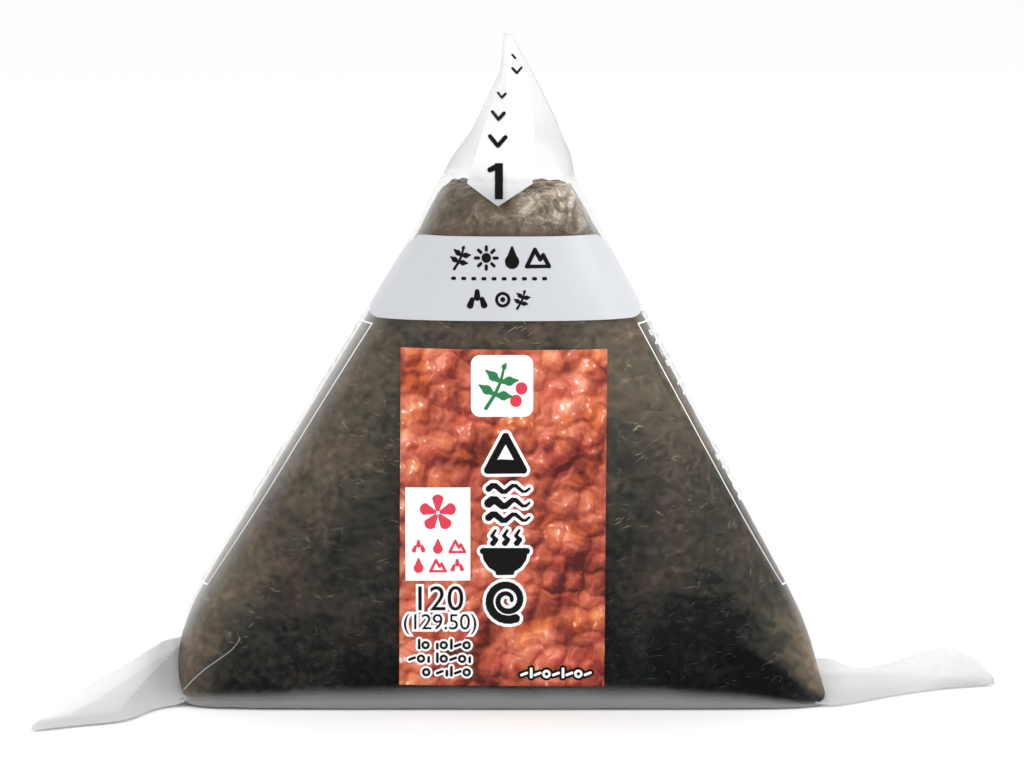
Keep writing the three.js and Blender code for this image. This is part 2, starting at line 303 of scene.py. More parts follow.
def printed_ink(name, code, gloss):
    """Gravure ink on the back of the film: an even, opaque colour under the film's own soft gloss."""
    made, tree, surface = blank(name)
    place = node(tree, "TexCoord", {}).outputs["Object"]
    cloud = node(tree, "TexNoise", {"Vector": place, "Scale": per(8), "Detail": 3}).outputs["Fac"]
    tone = node(tree, "MapRange", {"Value": cloud, "To Min": 0.93, "To Max": 1.05}).outputs[0]
    # The shade attribute darkens the ink: thin ink over the dark sheet, and painted shade on the strip's
    # left half
    thin = node(tree, "Attribute", {}, attribute_name="shade").outputs["Fac"]
    tone = node(tree, "Math", {0: thin, 1: -1, 2: tone}, operation="MULTIPLY_ADD").outputs[0]
    colour = node(tree, "HueSaturation", {"Value": tone, "Color": linear(code)}).outputs[0]
    finish = {"Base Color": colour, "Roughness": 0.35, "Specular IOR Level": gloss}
    shader = node(tree, "BsdfPrincipled", finish)
    tree.links.new(shader.outputs[0], surface)
    return made


def crumb_height(tree, place):
    """Lumps of a few millimetres with smaller crumbs and grit on them, as a height from 0 to about 1."""
    lump = node(tree, "TexVoronoi", {"Vector": place, "Scale": per(8)}, feature="SMOOTH_F1")
    crumb = node(tree, "TexVoronoi", {"Vector": place, "Scale": per(3)}, feature="F1")
    grit = node(tree, "TexNoise", {"Vector": place, "Scale": per(1.3), "Detail": 4}).outputs["Fac"]
    terms = {0: lump.outputs["Distance"], 1: -0.62, 2: 0.86}
    height = node(tree, "Math", terms, operation="MULTIPLY_ADD").outputs[0]
    terms = {0: crumb.outputs["Distance"], 1: -0.42, 2: height}
    height = node(tree, "Math", terms, operation="MULTIPLY_ADD").outputs[0]
    return node(tree, "Math", {0: grit, 1: 0.3, 2: height}, operation="MULTIPLY_ADD").outputs[0]


def label_paper():
    """Coated paper, printed all over with a close view of simmered crumbs in orange, red and brown."""
    made, tree, surface = blank("label_paper")
    place = node(tree, "TexCoord", {}).outputs["Object"]
    warp = node(tree, "TexNoise", {"Vector": place, "Scale": per(3.5), "Detail": 2}).outputs["Color"]
    warp = node(tree, "VectorMath", {0: warp, 1: (-0.5, -0.5, -0.5)}, operation="ADD").outputs[0]
    warp = node(tree, "VectorMath", {0: warp, "Scale": 3 * MM}, operation="SCALE").outputs[0]
    spot = node(tree, "VectorMath", {0: place, 1: warp}, operation="ADD").outputs[0]
    spot = node(tree, "Mapping", {"Vector": spot, "Scale": (1, 0, 1)}).outputs[0]
    to_light = (-0.35 * MM, 0, 0.6 * MM)
    height = crumb_height(tree, spot)
    higher = node(tree, "VectorMath", {0: spot, 1: to_light}, operation="ADD").outputs[0]
    higher = crumb_height(tree, higher)
    slope = node(tree, "Math", {0: height, 1: higher}, operation="SUBTRACT").outputs[0]
    tone = node(tree, "Math", {0: slope, 1: 1.5, 2: height}, operation="MULTIPLY_ADD").outputs[0]
    shadow = node(tree, "TexNoise", {"Vector": place, "Scale": per(13), "Detail": 2}).outputs["Fac"]
    tone = node(tree, "Math", {0: shadow, 1: 0.7, 2: tone}, operation="MULTIPLY_ADD").outputs[0]
    lit = node(tree, "VectorMath", {0: place, 1: (-5, 0, 3)}, operation="DOT_PRODUCT").outputs["Value"]
    tone = node(tree, "Math", {0: tone, 1: lit}, operation="ADD").outputs[0]
    tone = node(tree, "Math", {0: tone, 1: 0.54}, operation="SUBTRACT").outputs[0]
    stops = [(0.05, "#4f1c18"), (0.28, "#8e3d30"), (0.5, "#bc6048"), (0.72, "#dc8467"), (1, "#f5bca0")]
    food = node(tree, "ValToRGB", {"Fac": tone}, stops).outputs["Color"]
    hue = node(tree, "TexNoise", {"Vector": spot, "Scale": per(5), "Detail": 2}).outputs["Fac"]
    stops = [(0.36, "#ffe3ea"), (0.5, "#ffffff"), (0.66, "#fff0bf")]
    hue = node(tree, "ValToRGB", {"Fac": hue}, stops).outputs["Color"]
    food = node(tree, "Mix", {0: 1, 6: food, 7: hue}, data_type="RGBA", blend_type="MULTIPLY").outputs[2]
    glint = node(tree, "TexVoronoi", {"Vector": spot, "Scale": per(0.9)}, feature="F1")
    away = glint.outputs["Distance"]
    fade = {"Value": away, "From Min": 0.2, "From Max": 0.36, "To Min": 1, "To Max": 0}
    spark = node(tree, "MapRange", fade).outputs[0]
    rare = node(tree, "SeparateColor", {0: glint.outputs["Color"]}).outputs[0]
    rare = node(tree, "Math", {0: rare, 1: 0.5}, operation="GREATER_THAN").outputs[0]
    spark = node(tree, "Math", {0: spark, 1: rare}, operation="MULTIPLY").outputs[0]
    fade = {"Value": tone, "From Min": 0.45, "From Max": 0.8, "To Max": 0.85}
    high = node(tree, "MapRange", fade).outputs[0]
    spark = node(tree, "Math", {0: spark, 1: high}, operation="MULTIPLY").outputs[0]
    colour = node(tree, "Mix", {0: spark, 6: food, 7: linear("#fbe6d9")}, data_type="RGBA").outputs[2]
    facing = node(tree, "SeparateXYZ", {0: node(tree, "NewGeometry", {}).outputs["True Normal"]}).outputs[1]
    cut_edge = node(tree, "Math", {0: facing, 1: -0.7}, operation="GREATER_THAN").outputs[0]
    colour = node(tree, "Mix", {0: cut_edge, 6: colour, 7: linear("#e8ddd6")}, data_type="RGBA").outputs[2]
    finish = {"Base Color": colour, "Roughness": 0.4, "Specular IOR Level": 0.15}
    shader = node(tree, "BsdfPrincipled", finish)
    tree.links.new(shader.outputs[0], surface)
    return made


# Shapes


def cad_copy(*names):
    """The named solids as one mesh in millimetres, welded, with its flat pairs of triangles made quads."""
    bm = bmesh.new()
    for name in names:
        bm.from_mesh(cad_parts[name].data)
    bmesh.ops.scale(bm, vec=(1 / MM, 1 / MM, 1 / MM), verts=bm.verts)
    bmesh.ops.remove_doubles(bm, verts=bm.verts, dist=0.005)
    bmesh.ops.join_triangles(
        bm, faces=bm.faces, angle_face_threshold=math.radians(50), angle_shape_threshold=math.radians(70)
    )
    crease = bm.edges.layers.float.new("crease_edge")
    for edge in bm.edges:
        if edge.is_manifold and edge.calc_face_angle() > math.radians(32):
            edge[crease] = 0.9
    return bm


def smoothed(bm, levels):
    """The mesh under a subdivision surface, as a finer mesh."""
    mesh = bpy.data.meshes.new("rough")
    bm.to_mesh(mesh)
    holder = bpy.data.objects.new("rough", mesh)
    bpy.context.scene.collection.objects.link(holder)
    finer = holder.modifiers.new("finer", "SUBSURF")
    finer.levels = finer.render_levels = levels
    graph = bpy.context.evaluated_depsgraph_get()
    fine = bpy.data.meshes.new_from_object(holder.evaluated_get(graph), depsgraph=graph)
    bpy.data.objects.remove(holder)
    bm.clear()
    bm.from_mesh(fine)
    return bm


def moulded(bm, push):
    """Moves each vertex along its own normal by push(place, normal) millimetres."""
    bm.normal_update()
    for vertex, way in [(v, v.normal.copy()) for v in bm.verts]:
        vertex.co += way * push(vertex.co, way)
    bm.normal_update()


def marked(bm, name, value):
    """Gives each vertex a number from its place, for a material to read."""
    layer = bm.verts.layers.float.new(name)
    for vertex in bm.verts:
        vertex[layer] = value(vertex.co)


def piece(name, bm, finish, replaced=()):
    """Makes a mesh in millimetres an object that rides on the pack."""
    bmesh.ops.scale(bm, vec=(MM, MM, MM), verts=bm.verts)
    mesh = bpy.data.meshes.new(name)
    bm.to_mesh(mesh)
    bm.free()
    mesh.shade_smooth()
    mesh.materials.append(finish)
    made = bpy.data.objects.new(name, mesh)
    bpy.context.scene.collection.objects.link(made)
    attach(made, "root")
    if replaced:
        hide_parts(*replaced)
    return made


def painted_light_at(place):
    """Painted light on the sheet: painted shade in the foot's middle, and a painted sheen of the film's
    reflection more and more outwards and upwards.
    """
    x, z = place.x, place.z
    ragged = 2.6 * noise.noise(place / 8) + 1.4 * noise.noise(place / 3)
    middle = along(PAINTED_LIGHT_LOW + PAINTED_LIGHT_HIGH, z + 1.5 * ragged)
    middle += 0.45 * soft_step(-x, 18, 32) * (1 - soft_step(z, 8, 20))
    middle += 0.15 * soft_step(x, 6, 14) * soft_step(z, 26, 34)
    middle -= 0.32 * soft_step(x, 6, 14) * (1 - soft_step(z, 12, 20))
    edge = PAINTED_LIGHT_EDGE - 0.3 * soft_step(z, 22, 32)
    edge += soft_step(x, 8, 16) * mix(-0.4, 0.45, soft_step(z, 22, 48))
    half = min(BASE_HALF, 1.13 * BASE_HALF - SIDE_LEAN * z)
    inward = half - abs(x - 0.5) + ragged
    reach = PAINTED_LIGHT_REACH + PAINTED_LIGHT_SPREAD * z
    side = 1 - soft_step(inward, 0.15 * reach, reach)
    # Painted light above the lower right corner's fold line, and painted shade below it
    corner = soft_step(x, 30, 38) * (1 - soft_step(z, 9, 18))
    above = z - CORNER_FOLD.y + CORNER_FOLD_FALL * (x - CORNER_FOLD.x) + 0.4 * ragged
    return max(middle, mix(middle, edge, side)) + corner * mix(-0.45, 0.65, soft_step(above, -0.8, 0.8))


def fuller(place):
    """The pack is a little fuller at its upper left corner than its plain shape."""
    return 0.7 * soft_step(-place.x, 4, 8) * soft_step(place.z, 68, 75) * (1 - soft_step(place.z, 77, 84))


def fold_at(place):
    """Ridges of the crumpled sheet near its upper edge."""
    loose = soft_step(place.z, CRUMPLE_START, FILM_SEAM - 2)
    ridges = noise.ridged_multi_fractal(place / 6 + Vector((3, 0, 8)), 1.0, 2.2, 4, 0.9, 1.7)
    return loose, min(1.8, ridges)


def seaweed_sheet():
    """The sheet just under the film, with papery relief and a crumpled upper edge."""
    bm = smoothed(cad_copy("seaweed_ball"), 2)

    def push(place, way):
        side = soft_step(abs(way.x), 0.3, 0.9)
        gap = mix(SHEET_GAP, SHEET_SIDE_GAP, side)
        pulp = PULP_RELIEF * noise.fractal(place / 1.3, 1.0, 2.0, 3)
        loose, ridges = fold_at(place)
        return fuller(place) - gap + pulp - loose * CRUMPLE_DEPTH * (1 - 0.8 * side) * (0.8 - 0.45 * ridges)

    moulded(bm, push)
    for vertex in bm.verts:
        edge = soft_step(vertex.co.z, FILM_SEAM - 3, FILM_SEAM)
        left = soft_step(-vertex.co.x, 4, 9)
        vertex.co.z -= edge * (0.5 * left + 0.3 + 0.6 * noise.noise(vertex.co / 1.8))
    # Painted light, for the sheet's colour
    marked(bm, "painted_light", painted_light_at)

    # Painted highlights on the crumpled edge's ridges, stronger to the right
    def crumple_highlight(place):
        loose, ridges = fold_at(place)
        right = soft_step(place.x, -4, 9)
        return loose * mix(0.35, 1, right) * mix(0.7, 1, min(1, ridges))

    marked(bm, "fold", crumple_highlight)
    return piece("seaweed_sheet", bm, roasted_seaweed(), ["seaweed_ball"])


def seaweed_strands(sheet):
    """Stray fibres on the sheet: short bent ribbons, scattered all round by a seeded draw."""
    draw = random.Random(7)
    skin = skin_of(sheet)
    bm = bmesh.new()
    rows = 2 * FIBRES - 1
    grid = bmesh.ops.create_grid(bm, x_segments=FIBRE_STEPS, y_segments=rows, size=0.5)["verts"]
    gaps = [f for f in bm.faces if round((f.calc_center_median().y + 0.5) * rows - 0.5) % 2]
    bmesh.ops.delete(bm, geom=gaps, context="FACES_ONLY")
    fibres = [[] for _ in range(FIBRES)]
    for vertex in grid:
        fibres[round((vertex.co.y + 0.5) * rows) // 2].append(vertex)
    for fibre in fibres:
        angle = draw.uniform(0, 360)
        z = mix(1.5, FILM_SEAM - 1, draw.random() ** 0.8)
        root, normal = around(skin, angle, z, 0)
        across = Vector((0, 0, 1)).cross(normal).normalized()
        upwards = normal.cross(across)
        heading = draw.gauss(math.copysign(FIBRE_SLANT, root.x), 0.5)
        length = draw.uniform(0.5, 1.3) if draw.random() < 0.85 else draw.uniform(1.3, 2.4)
        width = draw.uniform(0.05, 0.08)
        bend = draw.uniform(-0.5, 0.5)
        middle = sum(vertex.co.y for vertex in fibre) / len(fibre)
        for vertex in fibre:
            run = vertex.co.x
            turn = heading + bend * run
            side = math.copysign(0.5 * width * (1 - 3 * run**2), vertex.co.y - middle)
            east = math.cos(turn) * run * length - math.sin(turn) * side
            north = math.sin(turn) * run * length + math.cos(turn) * side
            near, way, _, _ = skin.find_nearest(root + across * east + upwards * north)
            vertex.co = near + way * 0.06
    marked(bm, "painted_light", painted_light_at)
    return piece("seaweed_strands", bm, seaweed_fibre())


def skin_of(made):
    """A search tree over a finished piece, in millimetres."""
    bm = bmesh.new()
    bm.from_mesh(made.data)
    bmesh.ops.scale(bm, vec=(1 / MM, 1 / MM, 1 / MM), verts=bm.verts)
    tree = BVHTree.FromBMesh(bm)
    bm.free()
    return tree


def around(skin, angle, z, lift):
    """A point of the skin and its normal, angle degrees round the pack from the front, at a height."""
    turn = math.radians(angle)
    way = Vector((math.sin(turn), -0.4 * math.cos(turn), 0)).normalized()
    middle = Vector((mix(-1.9, 1.2, z / FILM_SEAM), 0, z))
    hit, normal, _, _ = skin.ray_cast(middle + way * 90, -way)
    if hit is None:
        hit, normal, _, _ = skin.find_nearest(middle)
    return hit + normal * lift, normal


def on_front(skin, x, z, lift):
    hit, normal, _, _ = skin.ray_cast(Vector((x, -90, z)), Vector((0, 1, 0)))
    if hit is None:
        hit, normal, _, _ = skin.find_nearest(Vector((x, -3, z)))
    return hit + normal * lift


def on_side(skin, side, y, z, lift):
    hit, normal, _, _ = skin.ray_cast(Vector((90 * side, y, z)), Vector((-side, 0, 0)))
    return hit + normal * lift


def film_wrap():
    """The clear film round the ball and its folded point, as one skin that is closed all round."""
    bm = cad_copy("seaweed_ball", "film_point")
    caps = [
        f
        for f in bm.faces
        if abs(f.normal.z) > 0.9 and abs(f.calc_center_median().z - FILM_SEAM) < 0.5
    ]
    bmesh.ops.delete(bm, geom=caps, context="FACES")
    rims = [v for v in bm.verts if v.is_boundary]
    bmesh.ops.remove_doubles(bm, verts=rims, dist=0.32)
    bm = smoothed(bm, 2)
    seam = [v for v in bm.verts if abs(v.co.z - FILM_SEAM) < SEAM_ROUNDING]
    for _ in range(SEAM_PASSES):
        bmesh.ops.smooth_vert(bm, verts=seam, factor=0.5, use_axis_x=True, use_axis_y=True, use_axis_z=True)

    def push(place, way):
        tense = soft_step(place.z, FILM_SEAM - 7, FILM_SEAM + 2)
        tense *= 1 - soft_step(place.z, TIP - 9, TIP - 1)
        pleats = noise.noise(Vector((place.x / 2.6, place.y / 2.6, place.z / 11)))
        ripple = noise.noise(place / 13 + Vector((5, 1, 2)))
        return 0.06 + fuller(place) + 0.2 * tense * pleats + 0.05 * ripple

    moulded(bm, push)

    def veil(place):
        """The share of white: in the empty point, in the fold along the foot, and a trace elsewhere."""
        point = mix(0.3, 0.12, soft_step(place.x, -2, 3))
        point *= soft_step(place.z, FILM_SEAM - 0.6, FILM_SEAM + 1.6)
        top = along(FOOT_FOLD, place.x) + 0.3 * noise.noise(place / 9)
        foot = FOOT_MILK * (1 - soft_step(place.z, 0.3 * top, top + 0.6))
        return 0.018 * max(0, painted_light_at(place)) + point + foot

    def tucked(place):
        """Where the film lies inside the root of an ear, and has no outline of its own."""
        return soft_step(abs(place.x), 45.5, 47) * (1 - soft_step(place.z, 8, 11))

    def cling(place):
        """Where the film lies wet and close on the sheet, and shines less at a slant: on the right."""
        return soft_step(place.x, 4, 14) * (1 - soft_step(place.z, 64, 70))

    marked(bm, "cling", cling)
    marked(bm, "veil", veil)
    marked(bm, "tucked", tucked)
    return piece("film_wrap", bm, clear_film(), ["film_point"])


def crease():
    """A fine white line where the film folds round the lower left corner: a painted highlight along the
    crease.
    """
    bm = bmesh.new()
    sign(bm, line(CREASE_FOOT + CREASE_END, *CREASE_WIDTHS), (0, 0), 1)
    finish = folded_film("film_crease", 0.6)
    return printed("film_crease", bm, lay_on(film_skin, 0.02), finish)


def film_ears():
    """The corners' folded ears, with soft creases along their length."""
    for side, body, shade in (("left", 0.85, left_shade), ("right", 0.64, right_shade)):
        bm = smoothed(cad_copy("film_ear_" + side), 3)

        def push(place, way):
            out = soft_step(abs(place.x), 50, 60)
            return 0.25 * out * noise.noise(Vector((place.x / 9, place.y / 4, place.z / 4)))

        moulded(bm, push)
        for vertex in bm.verts:
            near, way, _, _ = film_skin.find_nearest(vertex.co)
            off = abs((vertex.co - near).dot(way))
            vertex.co -= way * EAR_ROOT * (1 - soft_step(off, 0.5, 2))
            vertex.co.z = max(vertex.co.z, EAR_TABLE)
        marked(bm, "shade", shade)
        finish = folded_film("folded_film_" + side, body)
        piece("ear_film_" + side, bm, finish, ["film_ear_" + side])


def left_shade(place):
    """Grey on the left ear: painted shade and extra film layers below its fold, painted shade at its lower
    edge, less in its middle.
    """
    fold, ridge = (height + rise * (place.x - EAR_START) for height, rise in (EAR_FOLD, EAR_RIDGE))
    facet = 0.62 * soft_step(fold - place.z, -0.15, 0.15) * (0.7 + 0.3 * soft_step(place.z, 1, 4))
    edge = 0.45 * (1 - soft_step(place.z, 1.1, 1.9))
    return max(facet, edge, 0.25 * soft_step(ridge - 1 - place.z, 0, 0.2))


def right_shade(place):
    """Where the right ear is grey: along its lower edge, in painted shade, and at its tip."""
    grain = 0.08 * noise.noise(place / 0.8)
    return max(0, 0.4 * (1 - soft_step(place.z, 0.2, 1.9)) + 0.25 * soft_step(place.x, 60, 71) + grain)


def band():
    """The printed field round the upper front. Its ends are rounded and reach onto the slanting sides."""
    bm = bmesh.new()
    grid = bmesh.ops.create_grid(bm, x_segments=120, y_segments=24, size=0.5)["verts"]
    for vertex in grid:
        share = 2 * vertex.co.x
        far = min(1, abs(share))
        round_end = (1 - far**BAND_END_SQUARENESS) ** (1 / BAND_END_SQUARENESS)
        height = BAND_HEIGHT * max(BAND_END_HEIGHT, round_end)
        z = BAND_LOW + BAND_HEIGHT / 2 - BAND_DROOP * far**2 + vertex.co.y * height
        angle = math.copysign(turned(far), share)
        vertex.co = around(film_skin, angle, z, BAND_LIFT)[0]
    return piece("band", bm, printed_ink("band_ink", "#c3c5ca", 0.35), ["print_band"])


def turned(far):
    """Degrees round the pack at a share of the way to the band's end: over the face, then the side."""
    on_face = far < BAND_FACE
    step = far / BAND_FACE if on_face else 1 - (far - BAND_FACE) / (1 - BAND_FACE) * BAND_SIDE
    degrees = math.degrees(math.atan(step * (1 + 0.25 * (1 - step * step))))
    return degrees if on_face else 90 - degrees


def strip():
    """The white tear strip down the folded point, which ends in an arrow head over the seaweed."""
    bm = bmesh.new()
    grid = bmesh.ops.create_grid(bm, x_segments=20, y_segments=60, size=0.5)["verts"]
    for vertex in grid:
        share = abs(2 * vertex.co.x)
        low = mix(STRIP_POINT.y, STRIP_SHOULDER, share)
        z = mix(low, STRIP_TOP, vertex.co.y + 0.5)
        edge = along(STRIP_LEFT if vertex.co.x < 0 else STRIP_RIGHT, z)
        folded = soft_step(z, STRIP_SHOULDER, STRIP_SHOULDER + 9)
        middle = mix(STRIP_POINT.x, RIDGE_X, folded)
        x = mix(middle, edge, share)
        taut = min(on_front(film_skin, x, z + step, STRIP_LIFT).y for step in (-0.6, -0.3, 0, 0.3, 0.6))
        vertex.co = (x, taut, z)

    def shade(place):
        """The ink is thin over the dark sheet, and its left half, which turns away from the light, is in
        painted shade.
        """
        return 0.44 * (1 - soft_step(place.z, 73, 80)) + 0.1 * soft_step(RIDGE_X - place.x, -0.2, 0.3)

    marked(bm, "shade", shade)
    bm.normal_update()
    return piece("strip", bm, printed_ink("strip_ink", "#f7f7fa", 0.35), ["tear_strip"])


def label():
    """The paper label, stuck flat on the front."""
    bm = bmesh.new()
    bmesh.ops.create_grid(bm, x_segments=30, y_segments=50, size=0.5)
    bmesh.ops.scale(bm, vec=(LABEL_WIDTH, LABEL_HEIGHT, 1), verts=bm.verts)
    bmesh.ops.rotate(bm, matrix=Matrix.Rotation(-LABEL_TURN, 3, "Z"), verts=bm.verts)
    for vertex in bm.verts:
        z = LABEL_LOW + LABEL_HEIGHT / 2 + vertex.co.y
        vertex.co = on_front(film_skin, vertex.co.x, z, PAPER_LIFT)
    bm.normal_update()
    bmesh.ops.solidify(bm, geom=bm.faces, thickness=-PAPER_THICKNESS)
    bmesh.ops.recalc_face_normals(bm, faces=bm.faces)
    return piece("label", bm, label_paper(), ["paper_label"])


# Prints


def stroke(bm, start, end, wide, wide_end=None):
    """One pen stroke: a rounded bar from start to end, which may taper, a little above the last one."""
    thin = wide if wide_end is None else wide_end
    start, end = Vector(start), Vector(end)
    heading = (end - start).normalized()
    lift = LAYER * (len(bm.faces) % LAYERS)
    for vertex in bmesh.ops.create_circle(bm, cap_ends=True, segments=16, radius=1)["verts"]:
        ahead = vertex.co.xy.dot(heading) > 0
        spot = (end + vertex.co.xy * thin / 2) if ahead else (start + vertex.co.xy * wide / 2)
        vertex.co = (spot.x, spot.y, lift)


def arc(centre, radius, start, end, steps):
    """Points on a round line from one angle to another, in degrees."""
    turns = [math.radians(mix(start, end, i / steps)) for i in range(steps + 1)]
    return [(centre[0] + radius * math.cos(t), centre[1] + radius * math.sin(t)) for t in turns]


def line(points, wide, wide_end=None):
    """Strokes through points, whose width runs evenly from one end to the other."""
    thin = wide if wide_end is None else wide_end
    steps = len(points) - 1
    widths = [mix(wide, thin, i / steps) for i in range(steps + 1)]
    return list(zip(points, points[1:], widths, widths[1:]))


# Signs in a square of side 1 round the middle, as strokes


def rice_ball_sign():
    corners = [(-0.36, -0.32), (0.36, -0.32), (0, 0.36), (-0.36, -0.32)]
    return line(corners, 0.15) + line([(-0.11, -0.24), (0.11, -0.24)], 0.28)


def bowl_sign():
    bowl = line(arc((0, 0), 0.4, 180, 360, 8), 0.13)
    rows = [(0, 0.44, 0.13), (-0.1, 0.3, 0.2), (-0.2, 0.26, 0.2), (-0.3, 0.14, 0.2), (-0.44, 0.14, 0.1)]
    for z, half, wide in rows:
        bowl.append(((-half, z), (half, z), wide, wide))
    steam = [(0, 0.16), (0.06, 0.23), (-0.02, 0.31), (0.05, 0.42)]
    for x in (-0.24, 0, 0.24):
        bowl += line([(x + dx, z) for dx, z in steam], 0.12, 0.05)
    return bowl


def waves_sign():
    spots = [-0.42 + 0.07 * i for i in range(13)]
    waves = []
    for drop, wide in ((0.3, 0.13), (0, 0.19), (-0.3, 0.15)):
        waves += line([(x, drop + 0.07 * math.sin(15 * x)) for x in spots], wide, 0.05)
    return waves


def sprig_sign():
    stem = [(-0.26, -0.46), (-0.08, -0.18), (0.04, 0.08), (0.12, 0.4)]
    low, high = stem[1:3]
    leaves = [(low, (-0.4, 0.02)), (low, (0.28, -0.22)), (high, (-0.26, 0.32)), (high, (0.4, 0.12))]
    sprig = line(stem, 0.08, 0.05)
    for root, tip in leaves:
        middle = ((root[0] + tip[0]) / 2, (root[1] + tip[1]) / 2)
        sprig += [(root, middle, 0.05, 0.2), (middle, tip, 0.2, 0.03)]
    return sprig + [(stem[3], (0.15, 0.46), 0.12, 0.03)]


def swirl_sign():
    turns = [(0.1 + 0.33 * i / 44, i * 0.26) for i in range(45)]
    return line([(r * math.cos(t), r * math.sin(t)) for r, t in turns], 0.08, 0.19)


def blossom_sign():
    petals = []
    for x, z in arc((0, 0), 0.3, 90, 378, 4):
        petals.append(((x * 0.3, z * 0.3), (x, z), 0.1, 0.3))
    return petals


def sun_sign():
    rays = [((0, 0), (0, 0.01), 0.36, 0.36)]
    for (x, z), (u, w) in zip(arc((0, 0), 0.32, 0, 315, 7), arc((0, 0), 0.45, 0, 315, 7)):
        rays.append(((x, z), (u, w), 0.1, 0.1))
    return rays


def drop_sign():
    return [((0, -0.14), (0, -0.15), 0.56, 0.56), ((0, -0.05), (0, 0.44), 0.46, 0.06)]


def peaks_sign():
    peaks = [(-0.45, -0.34), (-0.12, 0.34), (0.1, -0.06), (0.22, 0.12), (0.46, -0.34)]
    return line(peaks, 0.14) + line([peaks[0], peaks[-1]], 0.12)


def grains_sign():
    grains = []
    for x, z, turn in ((-0.24, -0.12, 70), (0.24, -0.1, 110), (0, 0.2, 90)):
        dx, dz = 0.12 * math.cos(math.radians(turn)), 0.12 * math.sin(math.radians(turn))
        grains.append(((x - dx, z - dz), (x + dx, z + dz), 0.24, 0.16))
    return grains


def ring_sign():
    return line(arc((0, 0), 0.36, 0, 360, 16), 0.13) + [((0, 0), (0, 0.01), 0.24, 0.24)]


def sign(bm, strokes, centre, size, border=0.0):
    """Draws a sign at its place and size in millimetres. A border widens each stroke all round."""
    for start, end, wide, thin in strokes:
        at = [(centre[0] + x * size, centre[1] + z * size) for x, z in (start, end)]
        stroke(bm, *at, wide * size + 2 * border, thin * size + 2 * border)


def lettered(text, fat):
    """Flat outlines of plain numbers at the font's own size, each made fatter all round."""
    curve = bpy.data.curves.new("digits", "FONT")
    curve.body = text
    curve.offset = fat
    holder = bpy.data.objects.new("digits", curve)
    bpy.context.scene.collection.objects.link(holder)
    graph = bpy.context.evaluated_depsgraph_get()
    mesh = bpy.data.meshes.new_from_object(holder.evaluated_get(graph), depsgraph=graph)
    bpy.data.objects.remove(holder)
    spots = [v.co for v in mesh.vertices]
    low, high = (Vector([pick(co[axis] for co in spots) for axis in (0, 1)]) for pick in (min, max))
    return mesh, (low + high) / 2, high.y - low.y


def digits(bm, text, centre, height, fat=0.0):
    """Draws plain numbers with their middle at centre, all in millimetres."""
    size = height / lettered(text, 0)[2]
    mesh, middle, _ = lettered(text, fat / size)
    old = set(bm.verts)
    bm.from_mesh(mesh)
    for vertex in set(bm.verts) - old:
        spot = Vector(centre) + (vertex.co.xy - middle) * size
        vertex.co = (spot.x, spot.y, 0)


# Each bar as its left x, its two heights and the room that it takes, for marks of size 1
BARS = {"l": (0, -0.3, 0.5, 0.44), "i": (0, -0.3, 0.12, 0.44), "-": (-0.5, -0.1, 0.1, 0.86)}


def marks(kinds, x, z, size):
    """A row of bars, rings and gaps that ends at x, as strokes in millimetres."""
    row = []
    for kind in reversed(kinds):
        if kind == "o":
            x -= 0.3 * size
            row += line(arc((x, z), 0.3 * size, 0, 360, 10), 0.24 * size)
            x -= 0.62 * size
        elif kind in BARS:
            left, low, high, room = BARS[kind]
            row += line([(x + left * size, z + low * size), (x, z + high * size)], 0.27 * size)
            x -= room * size
        else:
            x -= 0.4 * size
    return row


def printed(name, bm, place, finish, run=1.5):
    """Cuts flat print into short runs and lays it on the pack: place(x, y, lift) gives each point."""
    reach = [[f([v.co[k] for v in bm.verts]) for f in (min, max)] for k in (0, 1)]
    for axis, (low, high) in enumerate(reach):
        way = Vector((1, 0, 0)) if axis == 0 else Vector((0, 1, 0))
        for i in range(1, int((high - low) / run) + 1):
            every = bm.verts[:] + bm.edges[:] + bm.faces[:]
            bmesh.ops.bisect_plane(bm, geom=every, plane_co=way * (low + run * i), plane_no=way)
    bmesh.ops.triangulate(bm, faces=bm.faces)
    for vertex in bm.verts:
        vertex.co = place(*vertex.co)
    return piece(name, bm, finish)


def lay_on(skin, base):
    """Lays print on the front of a piece, base above it."""
    return lambda x, z, lift: on_front(skin, x, z, base + lift)


def plate(bm, x, z, width, height, corner=0.0):
    """A flat rectangle with rounded corners."""
    verts = bmesh.ops.create_grid(bm, x_segments=1, y_segments=1, size=0.5)["verts"]
    for vertex in verts:
        vertex.co = (x + vertex.co.x * width, z + vertex.co.y * height, 0)
    if corner:
        bmesh.ops.bevel(
            bm, geom=verts, offset=corner, segments=6, profile=0.5, affect="VERTICES", material=-1
        )


